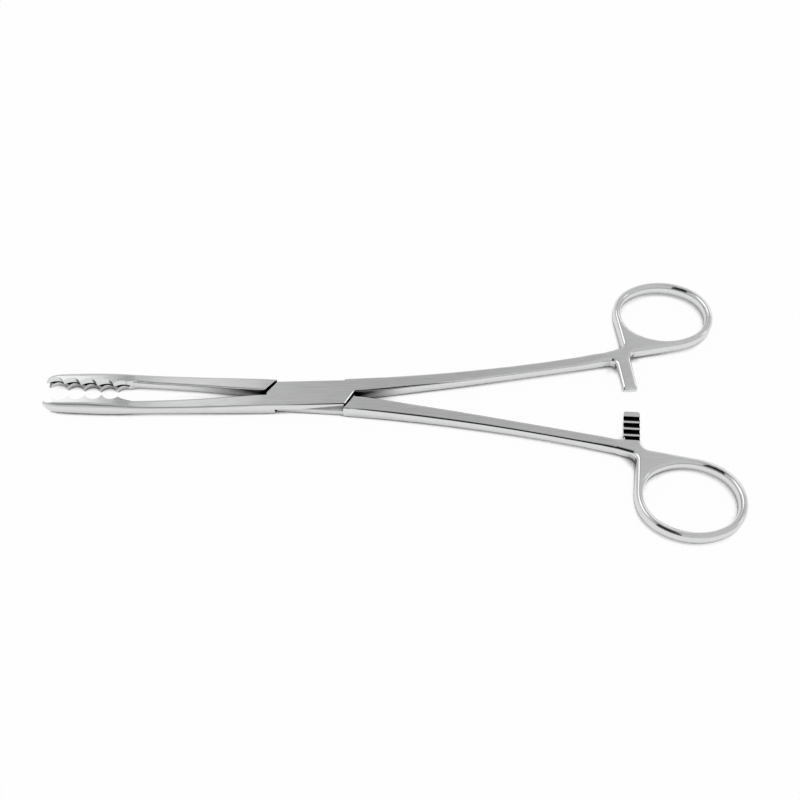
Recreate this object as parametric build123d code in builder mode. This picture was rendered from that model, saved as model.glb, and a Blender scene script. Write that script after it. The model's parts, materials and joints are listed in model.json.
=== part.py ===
"""Dressing forceps with a lap joint, finger rings and a ratchet.

Frame: X runs along the instrument with the jaws toward -X, Z is up, the joint
axis is Z through the origin, and Z = 0 is the underside of the joint.
Each half is drawn closed, about the middle plane, and is then turned open.
All sizes are in millimetres and degrees.
"""
from build123d import *
import math
import os

os.makedirs("parts", exist_ok=True)

# Pose
HALF_OPEN = 2.5          # each half is turned by this from closed

# Lap joint: each half is halved in thickness where the two cross
JOINT_THICKNESS = 6.3
MID_Z = JOINT_THICKNESS / 2
LAP_GAP = 0.08           # between the two lapped faces
SHOULDER_GAP = 0.45      # between a shoulder and the other half's end when closed
JOINT_BACK = 17.0        # joint's end at the jaw side
JOINT_FRONT = 17.0       # joint's end at the handle side
WALL_JAW = 5.5           # side wall on the jaw arm's side
WALL_HANDLE = 6.4        # side wall on the handle's side
LONG_EDGE = 0.75         # rounding of the joint's long edges
INNER_GAP = 0.18         # inner faces to the centre line when closed
LAP_SLANT = 3.65         # run along X of a lap's slanted end
LAP_BEVEL = 0.28         # bevel along the slanted ends
SHOULDER_BEVEL = 0.18
LAP_INSET = 0.6          # a lap's side lies inside its shank's side by this
PAST = 14.0              # cutters run this far past the ends of the slants

# Joint pin
PIN_RADIUS = 2.25
PIN_CLEAR = 0.05

# Jaws
TOOTH_START = 74.1       # last crest of the upper half, from the joint
JAW_TIP = 104.3
JAW_HALF_WIDTH = 3.6
TOOTH_PITCH = 6.6
TOOTH_DEPTH = 2.0
TOOTH_CLEAR = 0.1        # between a crest and the facing hollow when closed
CREST = TOOTH_DEPTH / 2 - TOOTH_CLEAR / 2
HOLLOW = TOOTH_DEPTH / 2 + TOOTH_CLEAR / 2
HOLLOW_RADIUS = ((TOOTH_PITCH / 2) ** 2 + TOOTH_DEPTH ** 2) / (2 * TOOTH_DEPTH)
GROOVE_BELOW = 0.9       # groove bottom below the hollows
GROOVE_HALF = 1.5        # half width of the single groove at the crests
TWIN_GROOVE_HALF = 1.05
TWIN_SPREAD = 1.25       # twin grooves, from the middle plane
JAW_FRONT = CREST + 2.5  # blank stands this far past the centre line

# Shank, ring, junction and ratchet bar
PLATE_THICKNESS = 5.3
PLATE_EDGE = 1.5
PLATE_START = 116.0      # the shank ends and the rear plate starts here
END_INNER = 12.4         # shank's sides at its end, from the centre line
END_OUTER = 17.1
END_INSET = 0.06         # shank's end lies this far inside the plate's end face
RING_REACH = 25.7        # ring's centre from the shank's end, along the instrument
RING_RISE = 18.2         # and from the shank's outer side
RING_X = PLATE_START + RING_REACH
RING_Y = END_OUTER + RING_RISE
RING_HOLE_X = 17.0
RING_HOLE_Y = 13.4
RING_END = 12.0          # radius of the hole's rounded ends
RING_SIDE = (
    ((RING_HOLE_X - RING_END) ** 2 + RING_HOLE_Y ** 2 - RING_END ** 2)
    / (2 * (RING_HOLE_Y - RING_END))
)
RING_WALL = 3.05
BAR_REACH = 7.1
BAR_RADIUS = PLATE_START + BAR_REACH
BAR_WIDTH = 6.1
BAR_PAST = 0.95          # bar end beyond the centre line when closed
BAR_GAP = 0.3            # between the two bars
BAR_END_ROUND = 0.9
RATCHET_TEETH = 4
RATCHET_PITCH = 2.9
RATCHET_DEPTH = 1.0
RATCHET_LAND = 0.8
RATCHET_FACE = 0.15      # lean of a tooth's steep face
RATCHET_LEAD = 2.1       # plain end of the bar before the first tooth
BAR_ROOT = END_INNER + 0.8

# Sections of the jaw arm: share of its length, inner y, outer y, thickness, rounding
JAW_ARM = (
    (0.246, 0.45, 5.46, 5.45, 0.9),
    (0.457, 0.9, 5.31, 4.65, 0.9),
    (0.652, 1.08, 5.15, 4.25, 0.9),
    (0.793, 1.12, 5.06, 4.3, 1.0),
    (0.898, 1.15, 4.99, 4.92, 1.2),
    (0.984, 1.2, 4.8, 5.55, 1.4),
)

# Sections of the jaw: share of the tooth stretch, back y, share of width, rounding
JAW = (
    (-0.238, 4.95, 0.635, 1.1),
    (-0.125, 4.95, 0.725, 1.35),
    (-0.029, 4.93, 0.81, 1.55),
    (0.068, 4.85, 0.895, 1.8),
    (0.244, 4.65, 0.978, 2.1),
    (0.421, 4.36, 1.0, 2.3),
    (0.582, 4.05, 0.975, 2.3),
    (0.72, 3.72, 0.93, 2.15),
    (0.785, 3.52, 0.915, 2.08),
    (0.84, 3.28, 0.9, 2.0),
    (0.885, 3.0, 0.875, 1.93),
    (0.925, 2.64, 0.84, 1.85),
    (0.957, 2.2, 0.79, 1.73),
    (0.972, 1.88, 0.73, 1.55),
    (0.985, 1.5, 0.64, 1.3),
    (1.0, 1.15, 0.5, 1.0),
)

# Sections of the shank: share of its length, inner y, outer y, thickness, rounding
SHANK = (
    (0.131, 1.22, 7.0, 5.85, 0.95),
    (0.2525, 2.6, 7.78, 5.5, 1.0),
    (0.379, 4.0, 8.78, 5.15, 1.0),
    (0.505, 5.55, 10.0, 4.8, 0.95),
    (0.626, 7.15, 11.35, 4.45, 0.9),
    (0.7525, 8.83, 13.0, 4.2, 0.85),
    (0.879, 10.6, 14.9, 4.35, 0.95),
    (0.95, 11.7, 16.15, 5.0, 1.1),
)

# Slanted ends of the half that has its jaw toward -Y, seen from above
LAP_JAW = (
    (-JOINT_BACK + 0.18, 1.2),
    (-JOINT_BACK + 0.18 + LAP_SLANT, WALL_JAW + 0.25),
)
LAP_HANDLE = (
    (JOINT_FRONT - 0.4, 0.4),
    (JOINT_FRONT - 0.4 - LAP_SLANT, -WALL_JAW),
)


def on_side(side, points):
    """Mirror plan points to the half's own side of the centre line."""
    return [(x, side * y) for x, y in points]


def lofted(side, stations):
    """Rounded bar with straight stretches between sections.

    A section is x, inner y, outer y, thickness and rounding.
    """
    with BuildPart() as bar:
        for x, inner, outer, thickness, rounding in stations:
            with BuildSketch(Plane.YZ.offset(x)):
                with Locations((side * (inner + outer) / 2, 0)):
                    RectangleRounded(outer - inner, thickness, rounding)
        loft(ruled=True)
    return bar.part


def jaw_arm(side):
    """Arm from the joint to the jaw, whose inner face runs along the centre line."""
    reach = TOOTH_START - JOINT_BACK
    stations = [(x, INNER_GAP, WALL_JAW, JOINT_THICKNESS, LONG_EDGE)
                for x in (-JOINT_BACK + 3, -JOINT_BACK - 3)]
    stations += [(-JOINT_BACK - share * reach, *section) for share, *section in JAW_ARM]
    return lofted(side, stations)


def shank(side):
    """Handle shank from the joint to the rear plate."""
    reach = PLATE_START - JOINT_FRONT
    stations = [
        (JOINT_FRONT - 4, INNER_GAP, WALL_HANDLE - 0.1, JOINT_THICKNESS, LONG_EDGE),
        (JOINT_FRONT + 3, INNER_GAP + 0.14, WALL_HANDLE + 0.1, JOINT_THICKNESS, LONG_EDGE),
    ]
    stations += [(JOINT_FRONT + share * reach, *section) for share, *section in SHANK]
    stations += [(PLATE_START, END_INNER + END_INSET, END_OUTER - END_INSET,
                  PLATE_THICKNESS - 2 * END_INSET, PLATE_EDGE)]
    return lofted(side, stations)


def jaw_blank(side):
    """Bar with straight stretches between the sections of the jaw."""
    with BuildPart() as bar:
        for share, back, width, rounding in JAW:
            x = -TOOTH_START - share * (JAW_TIP - TOOTH_START)
            with BuildSketch(Plane.YZ.offset(x)):
                with Locations((side * (back - JAW_FRONT) / 2, 0)):
                    RectangleRounded(back + JAW_FRONT, 2 * JAW_HALF_WIDTH * width, rounding)
        loft(ruled=True)
    return bar.part


def jaw(side, groove_half, groove_heights, first_hollow):
    """Jaw with a rounded back, hollows across it and grooves along it."""
    reach = JAW_TIP - TOOTH_START
    across = 2 * JAW_HALF_WIDTH + 2
    with BuildPart() as blank:
        add(jaw_blank(side))
        with BuildSketch(Plane.XY.offset(-across / 2)):
            with BuildLine():
                Polyline(*on_side(side, (
                    (-JAW_TIP - 2, -2 * JAW_FRONT),
                    (-JAW_TIP - 2, -CREST),
                    (-TOOTH_START - TOOTH_PITCH, -CREST),
                    (-TOOTH_START - 0.4, -0.1),
                    (-TOOTH_START + 1.0, 0.65),
                    (-TOOTH_START + 2.4, 1.06),
                    (-TOOTH_START + 8.5, 2.4),
                    (-TOOTH_START + 8.5, -2 * JAW_FRONT),
                )), close=True)
            make_face()
        extrude(amount=across, mode=Mode.SUBTRACT)
        hollows = int((JAW_TIP + first_hollow) / TOOTH_PITCH) + 1
        with BuildSketch(Plane.XY.offset(-across / 2)):
            for k in range(hollows):
                x = first_hollow - k * TOOTH_PITCH
                with Locations((x, side * (HOLLOW - HOLLOW_RADIUS))):
                    Circle(HOLLOW_RADIUS)
        extrude(amount=across, mode=Mode.SUBTRACT)
        bottom = HOLLOW + GROOVE_BELOW
        mouth = (bottom + 3 * CREST) * groove_half / (bottom + CREST)
        for height in groove_heights:
            with BuildSketch(Plane.YZ.offset(-JAW_TIP - 1)):
                with BuildLine():
                    Polyline(
                        (side * bottom, height),
                        (-side * 3 * CREST, height + mouth),
                        (-side * 3 * CREST, height - mouth),
                        close=True,
                    )
                make_face()
            extrude(amount=reach + 3.1, mode=Mode.SUBTRACT)
    return blank.part


def ring_rim(side, wall):
    """Edges of an oval of four arcs, at a distance outside the ring's hole."""
    end = RING_END + wall
    flank = RING_SIDE + wall
    end_x = RING_HOLE_X - RING_END
    flank_y = RING_SIDE - RING_HOLE_Y
    turn = math.degrees(math.atan2(flank_y, end_x))
    x, y = RING_X, side * RING_Y
    with BuildLine() as rim:
        CenterArc((x + end_x, y), end, -turn, 2 * turn)
        CenterArc((x, y - flank_y), flank, turn, 180 - 2 * turn)
        CenterArc((x - end_x, y), end, 180 - turn, 2 * turn)
        CenterArc((x, y + flank_y), flank, 180 + turn, 180 - 2 * turn)
    return rim.edges()


def touch(point, centre, radius, turn):
    """Where a line from a point outside touches a circle."""
    run = math.dist(point, centre)
    angle = math.atan2(point[1] - centre[1], point[0] - centre[0])
    angle += turn * math.acos(radius / run)
    return centre[0] + radius * math.cos(angle), centre[1] + radius * math.sin(angle)


def rear(side):
    """Finger ring, junction and ratchet bar of one half."""
    inner_radius = BAR_RADIUS - BAR_WIDTH / 2
    outer_radius = BAR_RADIUS + BAR_WIDTH / 2
    end = -side * BAR_PAST
    root = side * (END_INNER + 3)
    crotch = (PLATE_START + 7.3, END_OUTER + 1.85)
    web = (outer_radius + 1.3, END_OUTER - 0.65)
    web_foot = (outer_radius - 2.0, END_INNER + 1.0)
    near_end = (RING_X - RING_HOLE_X + RING_END, RING_Y)
    near_flank = (RING_X, RING_Y + RING_SIDE - RING_HOLE_Y)
    with BuildPart() as plate:
        with BuildSketch(Plane.XY.offset(-PLATE_THICKNESS / 2)):
            make_face(ring_rim(side, RING_WALL))
            with BuildLine():
                Polyline(*on_side(side, (
                    (PLATE_START, END_INNER),
                    (PLATE_START, END_OUTER),
                    crotch,
                    touch(crotch, near_end, RING_END + RING_WALL, -1),
                    (RING_X, RING_Y),
                    touch(web, near_flank, RING_SIDE + RING_WALL, 1),
                    web,
                    web_foot,
                )), close=True)
            make_face()
            with BuildLine():
                Polyline(
                    (inner_radius * math.cos(end / inner_radius), end),
                    (outer_radius * math.cos(end / outer_radius), end),
                    (outer_radius * math.cos(root / outer_radius), root),
                    (inner_radius * math.cos(root / inner_radius), root),
                    close=True,
                )
            make_face()
            make_face(ring_rim(side, 0), mode=Mode.SUBTRACT)
        extrude(amount=PLATE_THICKNESS)
        for corner, radius in (
            (crotch, 2.5),
            ((outer_radius - 0.8, END_INNER + 2.2), 3.6),
            ((inner_radius - 0.7, END_INNER + 0.4), 1.9),
        ):
            uprights = plate.edges().filter_by(Axis.Z)
            fillet(uprights.sort_by_distance((corner[0], side * corner[1], 0))[0], radius)
        uprights = plate.edges().filter_by(Axis.Z)
        fillet(uprights.sort_by_distance((BAR_RADIUS, end, 0))[0:2], BAR_END_ROUND)
        rims = plate.edges().group_by(Axis.Z)
        rims = rims[0] + rims[-1]
        fillet(rims.filter_by(lambda e: e.center().X > PLATE_START + 0.1), PLATE_EDGE)
    return plate.part


def ratchet(side):
    """Cutter that leaves the toothed half of one bar."""
    inner = BAR_RADIUS - BAR_WIDTH / 2 - 0.8
    start = -side * (BAR_PAST + 1)
    length = BAR_PAST + 1 + BAR_ROOT
    face = side * BAR_GAP / 2
    bottom = side * (BAR_GAP / 2 + RATCHET_DEPTH)
    with BuildPart() as cutter:
        with BuildSketch(Plane.YZ.offset(inner)):
            with BuildLine():
                points = [(start, -side * PLATE_THICKNESS), (start, face)]
                y = side * (RATCHET_LEAD - BAR_PAST)
                for k in range(RATCHET_TEETH):
                    points.append((y, face))
                    points.append((y + side * RATCHET_FACE, bottom))
                    y += side * (RATCHET_PITCH - RATCHET_LAND)
                    points.append((y, face))
                    y += side * RATCHET_LAND
                points.append((start + side * length, face))
                points.append((start + side * length, -side * PLATE_THICKNESS))
                Polyline(*points, close=True)
            make_face()
        extrude(amount=BAR_WIDTH + 1.1)
    return cutter.part


def beyond(line, distance, length):
    """Points of a line moved sideways and lengthened at both ends."""
    (x1, y1), (x2, y2) = line
    run = math.hypot(x2 - x1, y2 - y1)
    ux = (x2 - x1) / run
    uy = (y2 - y1) / run
    first = (x1 - length * ux - distance * uy, y1 - length * uy + distance * ux)
    last = (x2 + length * ux - distance * uy, y2 + length * uy + distance * ux)
    return first, last


def across(body, line, level=None):
    """Edges over the middle of a line: at top and bottom, or at one of them."""
    (x1, y1), (x2, y2) = line
    edges = body.edges().filter_by(Plane.XY)
    heights = (-1, 1) if level is None else (level,)
    return [
        edges.sort_by_distance(((x1 + x2) / 2, (y1 + y2) / 2, z * JOINT_THICKNESS / 2))[0]
        for z in heights
    ]


def half(side, pin_hole, groove_half, groove_heights, first_hollow):
    """One half, closed, with its jaw on the given side and its handle opposite.

    The half with its jaw toward -Y keeps the upper layer of the joint, and the
    other half keeps the lower one.
    """
    left = beyond(LAP_JAW, SHOULDER_GAP, PAST)
    right = beyond(LAP_HANDLE, SHOULDER_GAP, PAST)
    with BuildPart() as body:
        with BuildSketch(Plane.XY.offset(-JOINT_THICKNESS / 2)):
            with BuildLine():
                Polyline(*on_side(-side, (
                    (-JOINT_BACK, -WALL_JAW),
                    LAP_HANDLE[1],
                    LAP_HANDLE[0],
                    (JOINT_FRONT, INNER_GAP),
                    (JOINT_FRONT, WALL_HANDLE - LAP_INSET),
                    LAP_JAW[1],
                    LAP_JAW[0],
                    (-JOINT_BACK, -INNER_GAP),
                )), close=True)
            make_face()
        extrude(amount=JOINT_THICKNESS)
        level = body.edges().filter_by(GeomType.LINE).filter_by(Plane.XY)
        long_edges = level.filter_by(lambda e: e.length > JOINT_BACK + JOINT_FRONT - 10)
        fillet(long_edges, LONG_EDGE)
        chamfer(across(body, on_side(-side, LAP_JAW)), LAP_BEVEL)
        chamfer(across(body, on_side(-side, LAP_HANDLE)), LAP_BEVEL)
        add(jaw_arm(side))
        add(jaw(side, groove_half, groove_heights, first_hollow))
        add(shank(-side))
        with BuildSketch(Plane.XY.offset(-side * LAP_GAP / 2)):
            with BuildLine():
                Polyline(*on_side(side, (*left, *right)), close=True)
            make_face()
        extrude(amount=side * JOINT_THICKNESS, mode=Mode.SUBTRACT)
        chamfer(across(body, on_side(side, left), side), SHOULDER_BEVEL)
        chamfer(across(body, on_side(side, right), side), SHOULDER_BEVEL)
        add(rear(-side))
        add(ratchet(-side), mode=Mode.SUBTRACT)
        Cylinder(pin_hole, JOINT_THICKNESS + 1, mode=Mode.SUBTRACT)
    return body.part


# The half that lies on top at the joint: its jaw is toward -Y, with twin grooves
with BuildPart() as upper_half:
    with Locations((0, 0, MID_Z)):
        add(half(-1, PIN_RADIUS, TWIN_GROOVE_HALF, (-TWIN_SPREAD, TWIN_SPREAD),
                 -TOOTH_START + TOOTH_PITCH / 2), rotation=(0, 0, HALF_OPEN))

# The half that lies below: its jaw is toward +Y, with a single groove
with BuildPart() as lower_half:
    with Locations((0, 0, MID_Z)):
        add(half(1, PIN_RADIUS + PIN_CLEAR, GROOVE_HALF, (-0.25,), -TOOTH_START),
            rotation=(0, 0, -HALF_OPEN))

# Joint pin, ground flush with both faces
with BuildPart() as joint_pin:
    with Locations((0, 0, MID_Z)):
        Cylinder(PIN_RADIUS, JOINT_THICKNESS)

upper_half.part.label = "upper_half"
lower_half.part.label = "lower_half"
joint_pin.part.label = "joint_pin"

export_step(upper_half.part, "parts/upper_half.step")
export_step(lower_half.part, "parts/lower_half.step")
export_step(joint_pin.part, "parts/joint_pin.step")
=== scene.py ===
import json
import math

import bmesh
import bpy
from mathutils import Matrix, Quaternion, Vector

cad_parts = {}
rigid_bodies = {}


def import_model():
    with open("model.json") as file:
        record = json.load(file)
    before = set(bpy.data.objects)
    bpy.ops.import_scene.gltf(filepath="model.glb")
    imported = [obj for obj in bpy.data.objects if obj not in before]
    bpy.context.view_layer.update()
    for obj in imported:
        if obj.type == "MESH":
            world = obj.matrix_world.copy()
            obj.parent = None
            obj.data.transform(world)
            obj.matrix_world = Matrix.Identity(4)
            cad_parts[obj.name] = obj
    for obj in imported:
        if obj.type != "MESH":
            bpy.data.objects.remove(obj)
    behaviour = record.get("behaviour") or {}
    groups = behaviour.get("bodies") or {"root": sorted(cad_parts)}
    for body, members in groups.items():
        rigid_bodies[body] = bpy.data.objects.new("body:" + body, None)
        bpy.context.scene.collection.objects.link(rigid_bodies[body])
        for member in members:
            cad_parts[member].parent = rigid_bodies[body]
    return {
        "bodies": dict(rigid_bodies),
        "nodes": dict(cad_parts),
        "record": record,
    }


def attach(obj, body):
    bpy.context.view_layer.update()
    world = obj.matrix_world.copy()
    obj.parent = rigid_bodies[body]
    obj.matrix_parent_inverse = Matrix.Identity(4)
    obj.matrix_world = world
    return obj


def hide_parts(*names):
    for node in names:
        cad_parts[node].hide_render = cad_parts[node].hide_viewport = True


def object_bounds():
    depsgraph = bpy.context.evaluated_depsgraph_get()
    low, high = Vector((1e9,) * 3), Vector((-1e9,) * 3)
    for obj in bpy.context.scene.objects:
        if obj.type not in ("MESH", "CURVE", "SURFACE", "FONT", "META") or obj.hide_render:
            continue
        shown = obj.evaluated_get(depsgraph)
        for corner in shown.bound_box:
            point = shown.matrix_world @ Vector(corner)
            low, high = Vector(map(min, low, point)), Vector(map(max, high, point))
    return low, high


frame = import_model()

bl_info = {
    "name": "Dressing forceps",
    "version": (1, 0, 0),
    "blender": (4, 5, 0),
    "location": "3D View > Sidebar > Forceps",
    "description": "Satin flats and polished edges for a dressing forceps",
    "category": "Object",
}

MM = 0.001

# Sizes of the solids that the finish follows, in millimetres and degrees. A half is
# looked at closed, from the joint, with its handle at +Y.
HALF_OPEN = 2.5
MID_HEIGHT = 3.15
RING_CENTRE = (141.7, 35.3)
RING_BOX = (RING_CENTRE[0] - 25, RING_CENTRE[1] - 22)
RING_HOLE = (17.0, 13.4)
RING_END_RADIUS = 12.0
RING_END = RING_HOLE[0] - RING_END_RADIUS
RING_SIDE_RADIUS = (RING_END ** 2 + RING_HOLE[1] ** 2 - RING_END_RADIUS ** 2) / (
    2 * (RING_HOLE[1] - RING_END_RADIUS))
RING_SIDE_DROP = RING_SIDE_RADIUS - RING_HOLE[1]
RING_WALL = 3.05
RING_THICKNESS = 5.3
RING_SLACK = 0.03

FACE_MARKS = ("groove", "gullet", "lap_face", "inner_side")

# Where the marked faces lie: stretches along and across a half, heights from its middle
# plane, and shares of a normal that stand up or down.
GROOVED_STRETCH = (-106.0, -71.5)
GROOVE_DEPTH = (-1.2, 2.3)
GROOVE_HEIGHT = 2.75
GROOVE_LEAN = (0.7, 0.96)
GROOVE_BOTTOM = (0.7 * MM, 1.1 * MM)
BAR_STRETCH = (119.4, 126.8)
BAR_INSIDE = (-1.3, 13.6)
GULLET_HEIGHT = 1.25
GULLET_LEAN = (0.1, 0.97)
LAP_HEIGHT = 0.15
LAP_REACH = 30.0
LAP_LEAN = 0.99
INNER_STRETCH = (12.0, 60.0)
CROTCH_STRETCH = (19 * MM, 27 * MM)
SIDEWAYS = 0.5

# Mesh clean-up and shading.
MERGE_DISTANCE = 1e-7
SHARP_ANGLE = 28.0
EVEN_WEIGHT = 50

# Noise in the steel: sizes of the pattern and how far it sways each value.
MARK_DETAIL = 4.0
MARK_FALLOFF = 0.62
CLOUD_SCALE = 55.0
CLOUD_DETAIL = 2.0
MARK_ROUGHNESS = 0.16
CLOUD_ROUGHNESS = 0.06
MARK_TONE = 0.07
MARK_STEP = (0.3, 0.7)
MARK_RELIEF = 0.012 * MM
RELIEF_STRENGTH = 0.25
LAP_ROUGHNESS = 0.85
EDGE_RIPPLE = 0.08

# Shares of open sky at which painted shade darkens a crevice and a shaded wall, and a painted
# shadow darkens the floor.
SKY_SAMPLES = 8
CREVICE_SKY = (0.20, 0.44)
SHADED_SKY = (0.42, 0.7)
FLOOR_SKY = (0.31, 0.47)
MIRRORED_FLOOR_SKY = (0.3, 0.75)

# Upright share of a normal from which a face counts as a ground flat.
FLAT_LIMIT = 0.9995

# Stage: the floor's own colour, the camera's sensor in millimetres and its range in
# metres, and the dark panel's place and glow.
FLOOR_COLOUR = (0.9, 0.9, 0.9, 1.0)
SENSOR_WIDTH = 36.0
CAMERA_CLIP = (0.01, 20.0)
FLAG_BEHIND = 30 * MM
FLAG_FOOT = 5 * MM
FLAG_RISE = 400 * MM
FLAG_GLOW = (0.2, 0.004)

BODY_OF = {
    node: body
    for body, nodes in frame["record"]["behaviour"]["bodies"].items()
    for node in nodes
}


def clear_startup_objects():
    """Remove what a new Blender file holds besides the frame."""
    kept = set(frame["nodes"].values()) | set(frame["bodies"].values())
    for thing in list(bpy.data.objects):
        if thing not in kept:
            bpy.data.objects.remove(thing)


clear_startup_objects()
CAD_LOW, CAD_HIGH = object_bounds()


class ForcepsSteel(bpy.types.PropertyGroup):
    """Finish of the stainless steel."""

    colour: bpy.props.FloatVectorProperty(
        name="Steel colour",
        description="Reflection colour of clean stainless steel",
        subtype="COLOR",
        size=3,
        min=0.0,
        max=1.0,
        default=(0.70, 0.703, 0.708),
    )
    # Painted shade: a near-black colour that stands in for the shadow and dark reflections
    # deep in the joint, the grooves, the ratchet's gullets and the crotches.
    painted_shade_colour: bpy.props.FloatVectorProperty(
        name="Painted shade colour",
        description="Painted shade deep in the joint, the grooves and the ratchet teeth",
        subtype="COLOR",
        size=3,
        min=0.0,
        max=1.0,
        default=(0.012, 0.012, 0.013),
    )
    crevice_reach: bpy.props.FloatProperty(
        name="Crevice width",
        description="How far round a point nearby steel counts as closing a gap",
        subtype="DISTANCE",
        unit="LENGTH",
        default=3 * MM,
    )
    satin: bpy.props.FloatProperty(
        name="Satin roughness",
        description="Roughness of the ground flats",
        min=0.0,
        max=1.0,
        default=0.30,
    )
    polish: bpy.props.FloatProperty(
        name="Polish roughness",
        description="Roughness of the polished edges and rings",
        min=0.0,
        max=1.0,
        default=0.09,
    )
    grain_length: bpy.props.FloatProperty(
        name="Grain length",
        description="Length of a grinding mark along the instrument",
        subtype="DISTANCE",
        unit="LENGTH",
        default=9 * MM,
    )
    grain_width: bpy.props.FloatProperty(
        name="Grain width",
        description="Spacing of the grinding marks across the instrument",
        subtype="DISTANCE",
        unit="LENGTH",
        default=0.22 * MM,
    )


class ForcepsStage(bpy.types.PropertyGroup):
    """Camera and studio."""

    azimuth: bpy.props.FloatProperty(
        name="Camera azimuth",
        description="Turn of the camera round the object, from straight in front",
        subtype="ANGLE",
        unit="ROTATION",
        default=math.radians(2.854),
    )
    elevation: bpy.props.FloatProperty(
        name="Camera elevation",
        description="Height of the camera above the horizon",
        subtype="ANGLE",
        unit="ROTATION",
        default=math.radians(57.5),
    )
    roll: bpy.props.FloatProperty(
        name="Camera roll",
        description="Turn of the picture about the line of sight",
        subtype="ANGLE",
        unit="ROTATION",
        default=math.radians(-1.5215),
    )
    distance: bpy.props.FloatProperty(
        name="Camera distance",
        description="From the camera to the point that it looks at",
        subtype="DISTANCE",
        unit="LENGTH",
        default=359.5 * MM,
    )
    target: bpy.props.FloatVectorProperty(
        name="Camera target",
        description="Point that the camera looks at",
        subtype="XYZ",
        unit="LENGTH",
        size=3,
        default=(34.31 * MM, -0.78 * MM, 3.14 * MM),
    )
    focal_length: bpy.props.FloatProperty(
        name="Focal length",
        description="On a sensor 36 mm wide, in millimetres",
        default=41.85,
    )
    floor_size: bpy.props.FloatProperty(
        name="Floor size",
        description="Side of the square floor",
        subtype="DISTANCE",
        unit="LENGTH",
        default=6.0,
    )
    white_share: bpy.props.FloatProperty(
        name="White share",
        description="How much of the floor's look is plain white and not its shading",
        min=0.0,
        max=1.0,
        default=0.97,
    )
    # Reach of the painted contact shadow on the floor.
    contact_reach: bpy.props.FloatProperty(
        name="Contact shadow",
        description="How far the shadow under the instrument reaches",
        subtype="DISTANCE",
        unit="LENGTH",
        default=6 * MM,
    )
    tent_white: bpy.props.FloatProperty(
        name="Tent brightness",
        description="Brightness of the white tent round the object",
        default=0.88,
    )
    tent_grey: bpy.props.FloatProperty(
        name="Tent grey",
        description="Brightness of the dim stretch of tent that the flats mirror",
        default=0.56,
    )
    tent_dark: bpy.props.FloatProperty(
        name="Tent opening",
        description="Brightness of the opening round the camera",
        default=0.36,
    )
    softbox: bpy.props.FloatProperty(
        name="Softbox brightness",
        description="Brightness of the softboxes that the polished edges mirror",
        default=1.95,
    )
    flag_width: bpy.props.FloatProperty(
        name="Dark flag width",
        description="Width of the dark panel behind the camera, seen only in reflections",
        subtype="DISTANCE",
        unit="LENGTH",
        default=150 * MM,
    )


def add_link(tree, source, target):
    tree.links.new(source, target)


def new_node(tree, kind, label, **settings):
    """A labelled node with its settings."""
    node = tree.nodes.new(kind)
    node.label = label
    for key, value in settings.items():
        setattr(node, key, value)
    return node


def map_range(tree, label, value, low, high, to_low=0.0, to_high=1.0):
    """Smooth step of a value between two limits."""
    node = new_node(tree, "ShaderNodeMapRange", label, interpolation_type="SMOOTHSTEP")
    add_link(tree, value, node.inputs["Value"])
    node.inputs["From Min"].default_value = low
    node.inputs["From Max"].default_value = high
    node.inputs["To Min"].default_value = to_low
    node.inputs["To Max"].default_value = to_high
    return node.outputs["Result"]


def math_node(tree, label, operation, *values):
    """A Math node whose inputs are sockets or numbers."""
    node = new_node(tree, "ShaderNodeMath", label, operation=operation)
    for slot, value in zip(node.inputs, values):
        if isinstance(value, (int, float)):
            slot.default_value = value
        else:
            add_link(tree, value, slot)
    return node.outputs["Value"]


def new_group(name, inputs, outputs):
    """Shader node group with named sockets: (name, type, default)."""
    group = bpy.data.node_groups.new(name, "ShaderNodeTree")
    for title, kind, default in inputs:
        socket = group.interface.new_socket(title, in_out="INPUT", socket_type=kind)
        if default is not None:
            socket.default_value = default
    for title, kind in outputs:
        group.interface.new_socket(title, in_out="OUTPUT", socket_type=kind)
    start = group.nodes.new("NodeGroupInput")
    end = group.nodes.new("NodeGroupOutput")
    return group, start.outputs, end.inputs


def grinding_marks():
    """Fine marks along X from a grinding belt."""
    group, given, result = new_group(
        "Grinding marks",
        (
            ("Length", "NodeSocketFloat", 0.009),
            ("Width", "NodeSocketFloat", 0.0002),
        ),
        (("Mark", "NodeSocketFloat"), ("Cloud", "NodeSocketFloat")),
    )
    place = new_node(group, "ShaderNodeTexCoord", "Place")
    along = math_node(group, "Marks per metre along", "DIVIDE", 1.0, given["Length"])
    across = math_node(group, "Marks per metre across", "DIVIDE", 1.0, given["Width"])
    stretch = new_node(group, "ShaderNodeCombineXYZ", "Stretch")
    add_link(group, along, stretch.inputs["X"])
    add_link(group, across, stretch.inputs["Y"])
    add_link(group, across, stretch.inputs["Z"])
    scaled = new_node(group, "ShaderNodeVectorMath", "Stretched place", operation="MULTIPLY")
    add_link(group, place.outputs["Object"], scaled.inputs[0])
    add_link(group, stretch.outputs["Vector"], scaled.inputs[1])
    marks = new_node(group, "ShaderNodeTexNoise", "Marks")
    marks.inputs["Scale"].default_value = 1.0
    marks.inputs["Detail"].default_value = MARK_DETAIL
    marks.inputs["Roughness"].default_value = MARK_FALLOFF
    add_link(group, scaled.outputs["Vector"], marks.inputs["Vector"])
    cloud = new_node(group, "ShaderNodeTexNoise", "Cloud")
    cloud.inputs["Scale"].default_value = CLOUD_SCALE
    cloud.inputs["Detail"].default_value = CLOUD_DETAIL
    add_link(group, place.outputs["Object"], cloud.inputs["Vector"])
    add_link(group, marks.outputs["Fac"], result["Mark"])
    add_link(group, cloud.outputs["Fac"], result["Cloud"])
    return group


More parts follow.
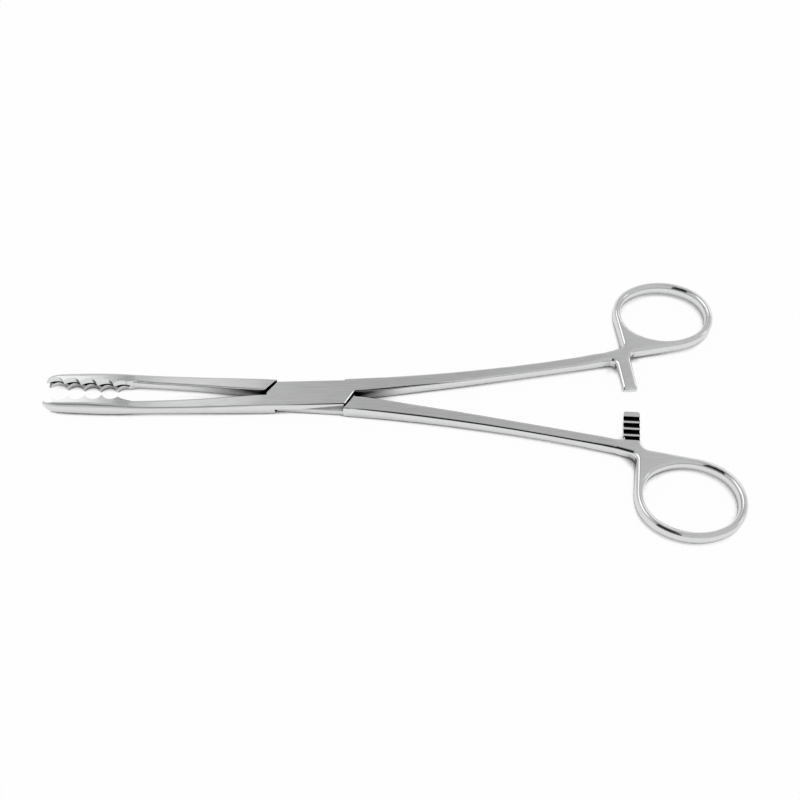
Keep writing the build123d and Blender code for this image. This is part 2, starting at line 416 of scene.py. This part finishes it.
def ground_flat():
    """1 where the surface is a ground flat face, 0 on rounded and upright faces."""
    group, given, result = new_group(
        "Ground flat",
        (("Softness", "NodeSocketFloat", 0.012),),
        (("Flat", "NodeSocketFloat"),),
    )
    surface = new_node(group, "ShaderNodeNewGeometry", "Surface")
    split = new_node(group, "ShaderNodeSeparateXYZ", "Facing")
    add_link(group, surface.outputs["Normal"], split.inputs["Vector"])
    upright = math_node(group, "Up or down", "ABSOLUTE", split.outputs["Z"])
    low = math_node(group, "Flat from", "SUBTRACT", FLAT_LIMIT, given["Softness"])
    step = new_node(group, "ShaderNodeMapRange", "Flat share", interpolation_type="SMOOTHSTEP")
    step.inputs["From Max"].default_value = FLAT_LIMIT
    add_link(group, upright, step.inputs["Value"])
    add_link(group, low, step.inputs["From Min"])
    add_link(group, step.outputs["Result"], result["Flat"])
    return group


def crevice():
    """Depth is 1 deep in narrow gaps. Shade is 1 on walls that little sky reaches."""
    group, given, result = new_group(
        "Crevice",
        (("Reach", "NodeSocketFloat", 0.003), ("Ripple", "NodeSocketFloat", 0.5)),
        (("Depth", "NodeSocketFloat"), ("Shade", "NodeSocketFloat")),
    )
    sky = new_node(group, "ShaderNodeAmbientOcclusion", "Open sky", samples=SKY_SAMPLES)
    add_link(group, given["Reach"], sky.inputs["Distance"])
    ripple = math_node(group, "Ripple of the edge", "MULTIPLY_ADD", given["Ripple"],
                       EDGE_RIPPLE, -EDGE_RIPPLE / 2)
    share = math_node(group, "Open share", "ADD", sky.outputs["AO"], ripple)
    depth = map_range(group, "Depth", share, *CREVICE_SKY, 1.0, 0.0)
    shade = map_range(group, "Shade", share, *SHADED_SKY, 1.0, 0.0)
    add_link(group, depth, result["Depth"])
    add_link(group, shade, result["Shade"])
    return group


def shared_group(tree, label, group):
    """Node that puts a shared group into a material."""
    node = new_node(tree, "ShaderNodeGroup", label)
    node.node_tree = group
    return node


def face_mark(tree, name):
    """1 on the faces that mark_faces gave this mark."""
    return new_node(tree, "ShaderNodeAttribute", name, attribute_name=name).outputs["Fac"]


def painted_shade_share(tree, crevices):
    """1 where shade is painted into the colour: narrow gaps, gullets, groove bottoms and
    crotches.
    """
    # Painted shade: the AO node's depth, the gullets, the groove bottoms and the shaded
    # crotches by the joint all darken the steel's colour.
    place = new_node(tree, "ShaderNodeTexCoord", "Place")
    split = new_node(tree, "ShaderNodeSeparateXYZ", "Along and up")
    add_link(tree, place.outputs["Object"], split.inputs["Vector"])
    along = math_node(tree, "From the joint", "ABSOLUTE", split.outputs["X"])
    near = map_range(tree, "Close to the joint", along, *CROTCH_STRETCH, 1.0, 0.0)
    crotch = math_node(tree, "Crotch", "MULTIPLY", near, face_mark(tree, "inner_side"))
    crotch = math_node(tree, "Shaded crotch", "MULTIPLY", crotch, crevices.outputs["Shade"])
    height = math_node(tree, "From the middle", "SUBTRACT", split.outputs["Z"],
                       MID_HEIGHT * MM)
    height = math_node(tree, "Up or down", "ABSOLUTE", height)
    bottom = map_range(tree, "Groove bottom", height, *GROOVE_BOTTOM, 1.0, 0.0)
    groove = math_node(tree, "Groove", "MULTIPLY", bottom, face_mark(tree, "groove"))
    share = crevices.outputs["Depth"]
    masks = (("Or gullet", face_mark(tree, "gullet")), ("Or groove", groove),
             ("Or crotch", crotch))
    for label, mask in masks:
        share = math_node(tree, label, "MAXIMUM", share, mask)
    return share


def mixed_roughness(tree, look, marks, flat, lap):
    """Satin with marks on the flats, a clouded polish elsewhere and dull lap faces."""
    grain = math_node(tree, "Marks on flats", "MULTIPLY", marks.outputs["Mark"],
                      MARK_ROUGHNESS)
    satin = math_node(tree, "Satin with marks", "ADD", grain, look.satin - MARK_ROUGHNESS / 2)
    cloud = math_node(tree, "Cloud on polish", "MULTIPLY", marks.outputs["Cloud"],
                      CLOUD_ROUGHNESS)
    polish = math_node(tree, "Polish", "ADD", cloud, look.polish - CLOUD_ROUGHNESS / 2)
    rough = new_node(tree, "ShaderNodeMix", "Satin or polish", data_type="FLOAT")
    add_link(tree, flat, rough.inputs["Factor"])
    add_link(tree, polish, rough.inputs[2])
    add_link(tree, satin, rough.inputs[3])
    dull = math_node(tree, "Dull laps", "MULTIPLY", lap, LAP_ROUGHNESS)
    return math_node(tree, "Satin or dull", "MAXIMUM", rough.outputs[0], dull)


def mixed_colour(tree, look, marks, painted_darkness):
    """Steel colour that sways with the marks, darkened by painted shade in gaps, gullets,
    groove bottoms and crotches.
    """
    tone = new_node(tree, "ShaderNodeMix", "Marks in the tone", data_type="RGBA")
    tone.inputs[6].default_value = (*[c * (1 - MARK_TONE) for c in look.colour], 1.0)
    tone.inputs[7].default_value = (*[min(1.0, c * (1 + MARK_TONE)) for c in look.colour], 1.0)
    contrast = map_range(tree, "Mark contrast", marks.outputs["Mark"], *MARK_STEP)
    add_link(tree, contrast, tone.inputs[0])
    # Painted shade: the near-black colour is mixed in by the share of shaded gaps.
    dark = new_node(tree, "ShaderNodeMix", "Painted shade in gaps", data_type="RGBA")
    dark.inputs[7].default_value = (*look.painted_shade_colour, 1.0)
    add_link(tree, painted_darkness, dark.inputs[0])
    add_link(tree, tone.outputs[2], dark.inputs[6])
    return dark.outputs[2]


def mark_relief(tree, marks, flat):
    """Normal that follows the grinding marks on the flats."""
    height = math_node(tree, "Marks cut only flats", "MULTIPLY", marks.outputs["Mark"], flat)
    bump = new_node(tree, "ShaderNodeBump", "Mark relief")
    bump.inputs["Strength"].default_value = RELIEF_STRENGTH
    bump.inputs["Distance"].default_value = MARK_RELIEF
    add_link(tree, height, bump.inputs["Height"])
    return bump.outputs["Normal"]


def steel(name, groups):
    """Stainless steel: satin where ground flat, polished on the rounded edges and rings, with
    painted shade in its gaps.
    """
    look = bpy.context.scene.forceps_steel
    material = bpy.data.materials.new(name)
    material.use_nodes = True
    tree = material.node_tree
    shader = tree.nodes["Principled BSDF"]
    marks = shared_group(tree, "Grinding marks", groups["marks"])
    marks.inputs["Length"].default_value = look.grain_length
    marks.inputs["Width"].default_value = look.grain_width
    flat = shared_group(tree, "Ground flat", groups["flat"]).outputs["Flat"]
    crevices = shared_group(tree, "Crevice", groups["crevice"])
    crevices.inputs["Reach"].default_value = look.crevice_reach
    add_link(tree, marks.outputs["Cloud"], crevices.inputs["Ripple"])

    lap = face_mark(tree, "lap_face")
    shine = math_node(tree, "No shine on the laps", "SUBTRACT", 1.0, lap)
    # Painted shade for the gaps, gullets, groove bottoms and crotches.
    painted_darkness = painted_shade_share(tree, crevices)
    add_link(tree, shine, shader.inputs["Metallic"])
    add_link(tree, mixed_roughness(tree, look, marks, flat, lap), shader.inputs["Roughness"])
    add_link(tree, mixed_colour(tree, look, marks, painted_darkness), shader.inputs["Base Color"])
    add_link(tree, mark_relief(tree, marks, flat), shader.inputs["Normal"])
    return material


def closed_place(point, side):
    """A point in millimetres from the joint, once the half is closed.

    Side is +1 where the handle is at +Y and the jaw at -Y, and -1 for the other half.
    The result has the handle at +Y for both halves, and its height from the middle plane.
    """
    turn = math.radians(HALF_OPEN) * side
    x = point[0] * math.cos(turn) + point[1] * math.sin(turn)
    y = point[1] * math.cos(turn) - point[0] * math.sin(turn)
    return x / MM, side * y / MM, point[2] / MM - MID_HEIGHT


def from_ring(x, y):
    """Distance from the middle of the ring's stock, and the direction away from it."""
    u, v = x - RING_CENTRE[0], y - RING_CENTRE[1]
    at_end = math.atan2(abs(v), abs(u) - RING_END) < math.atan2(RING_SIDE_DROP, RING_END)
    if at_end:
        centre, radius = (math.copysign(RING_END, u), 0.0), RING_END_RADIUS
    else:
        centre, radius = (0.0, -math.copysign(RING_SIDE_DROP, v)), RING_SIDE_RADIUS
    away = (u - centre[0], v - centre[1])
    reach = math.hypot(*away)
    return reach - radius - RING_WALL / 2, (away[0] / reach, away[1] / reach)


def round_rings(mesh, side):
    """Shade the ring's stock as an oval section, from its wall and its rounded rims."""
    turn = math.radians(HALF_OPEN) * side
    half_wall, half_height = RING_WALL / 2, RING_THICKNESS / 2
    normals = [Vector(corner.vector) for corner in mesh.corner_normals]
    for loop in mesh.loops:
        x, y, z = closed_place(mesh.vertices[loop.vertex_index].co, side)
        if x < RING_BOX[0] or y < RING_BOX[1]:
            continue
        off, (ax, ay) = from_ring(x, y)
        if abs(off) > half_wall + RING_SLACK:
            continue
        out = off / half_wall ** 2
        ay *= side
        flat_x = ax * math.cos(turn) - ay * math.sin(turn)
        flat_y = ax * math.sin(turn) + ay * math.cos(turn)
        normal = Vector((flat_x * out, flat_y * out, z / half_height ** 2))
        normals[loop.index] = normal.normalized()
    mesh.normals_split_custom_set(normals)


def within(value, limits):
    return limits[0] < value < limits[1]


def marks_of(place, normal, side):
    """The marks of a face, from its closed place and its normal."""
    x, y, z = place
    lean = abs(normal.z)
    outward = side * normal.y * math.copysign(1, x)
    return {
        "groove": (within(x, GROOVED_STRETCH) and within(-y, GROOVE_DEPTH)
                   and within(lean, GROOVE_LEAN) and abs(z) < GROOVE_HEIGHT),
        "gullet": (within(x, BAR_STRETCH) and within(y, BAR_INSIDE)
                   and within(lean, GULLET_LEAN) and abs(z) < GULLET_HEIGHT
                   and abs(normal.x) < SIDEWAYS),
        "lap_face": abs(z) < LAP_HEIGHT and lean > LAP_LEAN and abs(x) < LAP_REACH,
        "inner_side": (within(abs(x), INNER_STRETCH) and lean < SIDEWAYS
                       and outward < -SIDEWAYS),
    }


def mark_faces(mesh, side):
    """Mark the jaw's grooves, the ratchet's gullets, the lap and the inner sides."""
    for name in FACE_MARKS:
        mesh.attributes.new(name, "FLOAT", "FACE")
    for face in mesh.polygons:
        found = marks_of(closed_place(face.center, side), face.normal, side)
        for name in FACE_MARKS:
            mesh.attributes[name].data[face.index].value = float(found[name])


def finished_copy(node, name, material, side=0):
    """Closed, smoothly shaded copy of a CAD node that stands for it.

    Side is +1 or -1 for a half, by the side that its handle is on, and 0 for the pin.
    """
    mesh = frame["nodes"][node].data.copy()
    mesh.name = name
    shape = bmesh.new()
    shape.from_mesh(mesh)
    bmesh.ops.remove_doubles(shape, verts=shape.verts, dist=MERGE_DISTANCE)
    shape.to_mesh(mesh)
    shape.free()
    if "custom_normal" in mesh.attributes:
        mesh.attributes.remove(mesh.attributes["custom_normal"])
    mesh.materials.clear()
    mesh.materials.append(material)
    piece = bpy.data.objects.new(name, mesh)
    bpy.context.scene.collection.objects.link(piece)
    mesh.shade_smooth()
    mesh.set_sharp_from_angle(angle=math.radians(SHARP_ANGLE))
    weigh = piece.modifiers.new("Even shading", "WEIGHTED_NORMAL")
    weigh.keep_sharp = True
    weigh.weight = EVEN_WEIGHT
    bpy.context.view_layer.objects.active = piece
    piece.select_set(True)
    bpy.ops.object.modifier_apply(modifier=weigh.name)
    piece.select_set(False)
    if side:
        round_rings(mesh, side)
        mark_faces(mesh, side)
    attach(piece, BODY_OF[node])
    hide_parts(node)
    return piece


def material_groups():
    """The shared shader effects, built once."""
    found = bpy.data.node_groups
    return {
        "marks": found.get("Grinding marks") or grinding_marks(),
        "flat": found.get("Ground flat") or ground_flat(),
        "crevice": found.get("Crevice") or crevice(),
    }


def steel_of(name):
    return bpy.data.materials.get(name) or steel(name, material_groups())


class FORCEPS_OT_halves(bpy.types.Operator):
    """Make the two forged halves, each with jaw, shank, ring and ratchet bar"""

    bl_idname = "forceps.halves"
    bl_label = "Forged halves"

    def execute(self, context):
        material = steel_of("stainless_steel")
        finished_copy("upper_half", "half_on_top", material, 1)
        finished_copy("lower_half", "half_below", material, -1)
        return {"FINISHED"}


class FORCEPS_OT_pin(bpy.types.Operator):
    """Make the flush joint pin"""

    bl_idname = "forceps.pin"
    bl_label = "Joint pin"

    def execute(self, context):
        finished_copy("joint_pin", "flush_pin", steel_of("stainless_steel"))
        return {"FINISHED"}


def white_floor(stage):
    """Plain floor that looks white, with a painted contact shadow where its white glow dims
    under the object, and a faint real shadow from its own shading.
    """
    half = stage.floor_size / 2
    level = CAD_LOW.z
    mesh = bpy.data.meshes.new("floor")
    corners = [(x * half, y * half, level) for x, y in ((-1, -1), (1, -1), (1, 1), (-1, 1))]
    mesh.from_pydata(corners, [], [(0, 1, 2, 3)])
    floor = bpy.data.objects.new("floor", mesh)
    bpy.context.scene.collection.objects.link(floor)
    material = bpy.data.materials.new("white_floor")
    material.use_nodes = True
    tree = material.node_tree
    tree.nodes.clear()
    shaded = new_node(tree, "ShaderNodeBsdfDiffuse", "Shaded floor")
    shaded.inputs["Color"].default_value = FLOOR_COLOUR
    # Painted shadow: the AO node dims the floor's white glow near the instrument, to the
    # camera and in mirrors.
    contact = new_node(tree, "ShaderNodeAmbientOcclusion", "Contact", samples=SKY_SAMPLES)
    contact.inputs["Distance"].default_value = stage.contact_reach
    path = new_node(tree, "ShaderNodeLightPath", "Seen by")
    open_sky = contact.outputs["AO"]
    mirrored = map_range(tree, "Open floor in mirrors", open_sky, *MIRRORED_FLOOR_SKY)
    direct = map_range(tree, "Open floor to the camera", open_sky, *FLOOR_SKY)
    lit = new_node(tree, "ShaderNodeMix", "Open floor", data_type="FLOAT")
    add_link(tree, path.outputs["Is Camera Ray"], lit.inputs["Factor"])
    add_link(tree, mirrored, lit.inputs[2])
    add_link(tree, direct, lit.inputs[3])
    white = new_node(tree, "ShaderNodeEmission", "White floor")
    add_link(tree, lit.outputs[0], white.inputs["Strength"])
    seen = math_node(tree, "Camera or mirror", "MAXIMUM", path.outputs["Is Camera Ray"],
                     path.outputs["Is Glossy Ray"])
    seen = math_node(tree, "Or glass", "MAXIMUM", seen, path.outputs["Is Transmission Ray"])
    share = math_node(tree, "White share", "MULTIPLY", seen, stage.white_share)
    mix = new_node(tree, "ShaderNodeMixShader", "Floor")
    output = new_node(tree, "ShaderNodeOutputMaterial", "Output")
    add_link(tree, share, mix.inputs["Fac"])
    add_link(tree, shaded.outputs["BSDF"], mix.inputs[1])
    add_link(tree, white.outputs["Emission"], mix.inputs[2])
    add_link(tree, mix.outputs["Shader"], output.inputs["Surface"])
    mesh.materials.append(material)


def towards(azimuth, elevation):
    """Unit direction: azimuth from straight in front toward the right, in degrees."""
    turn, rise = math.radians(azimuth), math.radians(elevation)
    return (
        math.sin(turn) * math.cos(rise),
        -math.cos(turn) * math.cos(rise),
        math.sin(rise),
    )


# Patches of the tent: azimuth and elevation in degrees, inner and outer radius on the
# unit sphere, and the stage setting that holds the patch's brightness. A later patch
# covers an earlier one.
TENT_PATCHES = (
    ((-175, 57.7), 0.14, 0.36, "tent_grey"),
    ((0, 86), 0.14, 0.36, "tent_grey"),
    ((-33, 50), 0.12, 0.46, "tent_dark"),
    ((-126, 45), 0.26, 0.36, "softbox"),
    ((-95, 42), 0.24, 0.40, "softbox"),
    ((140, 8), 0.18, 0.40, "softbox"),
    ((85, 20), 0.08, 0.22, "softbox"),
)


def tent(stage):
    """White tent as the world, with dim stretches, an opening and softboxes."""
    world = bpy.data.worlds.new("tent")
    bpy.context.scene.world = world
    world.use_nodes = True
    tree = world.node_tree
    tree.nodes.clear()
    place = new_node(tree, "ShaderNodeTexCoord", "Direction")
    level = new_node(tree, "ShaderNodeValue", "Tent level").outputs["Value"]
    level.default_value = stage.tent_white
    for direction, inner, outer, brightness in TENT_PATCHES:
        away = new_node(tree, "ShaderNodeVectorMath", "From the patch", operation="DISTANCE")
        away.inputs[1].default_value = towards(*direction)
        add_link(tree, place.outputs["Generated"], away.inputs[0])
        inside = map_range(tree, "Inside the patch", away.outputs["Value"],
                           inner, outer, 1.0, 0.0)
        patch = new_node(tree, "ShaderNodeMix", "Patch", data_type="FLOAT")
        add_link(tree, inside, patch.inputs["Factor"])
        add_link(tree, level, patch.inputs[2])
        patch.inputs[3].default_value = getattr(stage, brightness)
        level = patch.outputs[0]
    path = new_node(tree, "ShaderNodeLightPath", "Seen by")
    shown = new_node(tree, "ShaderNodeMix", "White behind", data_type="FLOAT")
    add_link(tree, path.outputs["Is Camera Ray"], shown.inputs["Factor"])
    add_link(tree, level, shown.inputs[2])
    shown.inputs[3].default_value = 1.0
    light = new_node(tree, "ShaderNodeBackground", "Tent light")
    output = new_node(tree, "ShaderNodeOutputWorld", "Output")
    add_link(tree, shown.outputs[0], light.inputs["Strength"])
    add_link(tree, light.outputs["Background"], output.inputs["Surface"])


def camera(stage):
    """Camera at the photographed angle. Returns its place."""
    azimuth, elevation = stage.azimuth, stage.elevation
    back = Vector((
        math.sin(azimuth) * math.cos(elevation),
        -math.cos(azimuth) * math.cos(elevation),
        math.sin(elevation),
    ))
    lens = bpy.data.cameras.new("camera")
    lens.sensor_width = SENSOR_WIDTH
    lens.lens = stage.focal_length
    lens.clip_start, lens.clip_end = CAMERA_CLIP
    view = bpy.data.objects.new("camera", lens)
    bpy.context.scene.collection.objects.link(view)
    view.location = Vector(stage.target) + back * stage.distance
    view.rotation_mode = "QUATERNION"
    level = (-back).to_track_quat("-Z", "Y")
    view.rotation_quaternion = level @ Quaternion((0, 0, 1), stage.roll)
    bpy.context.scene.camera = view
    return view.location.copy()


def dark_flag(stage, place):
    """Upright dark panel behind the camera that only reflections see."""
    half = stage.flag_width / 2
    y = place.y - FLAG_BEHIND
    low, high = CAD_LOW.z + FLAG_FOOT, place.z + FLAG_RISE
    mesh = bpy.data.meshes.new("dark_flag")
    mesh.from_pydata(
        [(place.x - half, y, low), (place.x + half, y, low),
         (place.x + half, y, high), (place.x - half, y, high)],
        [], [(0, 1, 2, 3)],
    )
    flag = bpy.data.objects.new("dark_flag", mesh)
    bpy.context.scene.collection.objects.link(flag)
    material = bpy.data.materials.new("black_velvet")
    material.use_nodes = True
    tree = material.node_tree
    tree.nodes.clear()
    spot = new_node(tree, "ShaderNodeTexCoord", "Place")
    split = new_node(tree, "ShaderNodeSeparateXYZ", "Height")
    add_link(tree, spot.outputs["Object"], split.inputs["Vector"])
    fade = map_range(tree, "Darker upward", split.outputs["Z"], low, place.z / 2, *FLAG_GLOW)
    glow = new_node(tree, "ShaderNodeEmission", "Dim panel")
    add_link(tree, fade, glow.inputs["Strength"])
    output = new_node(tree, "ShaderNodeOutputMaterial", "Output")
    add_link(tree, glow.outputs["Emission"], output.inputs["Surface"])
    mesh.materials.append(material)
    flag.visible_camera = False
    flag.visible_diffuse = False
    flag.visible_shadow = False


class FORCEPS_OT_stage(bpy.types.Operator):
    """Make the camera, the white floor, the tent and the dark panel"""

    bl_idname = "forceps.stage"
    bl_label = "Stage"

    def execute(self, context):
        stage = context.scene.forceps_stage
        white_floor(stage)
        tent(stage)
        dark_flag(stage, camera(stage))
        context.scene.view_settings.view_transform = "Standard"
        return {"FINISHED"}


class FORCEPS_PT_panel(bpy.types.Panel):
    """Sizes, finish and pieces of the forceps"""

    bl_label = "Dressing forceps"
    bl_idname = "FORCEPS_PT_panel"
    bl_space_type = "VIEW_3D"
    bl_region_type = "UI"
    bl_category = "Forceps"

    def draw(self, context):
        for group in (context.scene.forceps_steel, context.scene.forceps_stage):
            box = self.layout.box()
            for key in group.__annotations__:
                box.prop(group, key)
        for operator in (FORCEPS_OT_halves, FORCEPS_OT_pin, FORCEPS_OT_stage):
            self.layout.operator(operator.bl_idname)


CLASSES = (
    ForcepsSteel,
    ForcepsStage,
    FORCEPS_OT_halves,
    FORCEPS_OT_pin,
    FORCEPS_OT_stage,
    FORCEPS_PT_panel,
)


def register():
    for each in CLASSES:
        bpy.utils.register_class(each)
    bpy.types.Scene.forceps_steel = bpy.props.PointerProperty(type=ForcepsSteel)
    bpy.types.Scene.forceps_stage = bpy.props.PointerProperty(type=ForcepsStage)


def unregister():
    del bpy.types.Scene.forceps_stage
    del bpy.types.Scene.forceps_steel
    for each in reversed(CLASSES):
        bpy.utils.unregister_class(each)


def main():
    register()
    bpy.ops.forceps.halves()
    bpy.ops.forceps.pin()
    bpy.ops.forceps.stage()


if __name__ == "__main__":
    main()
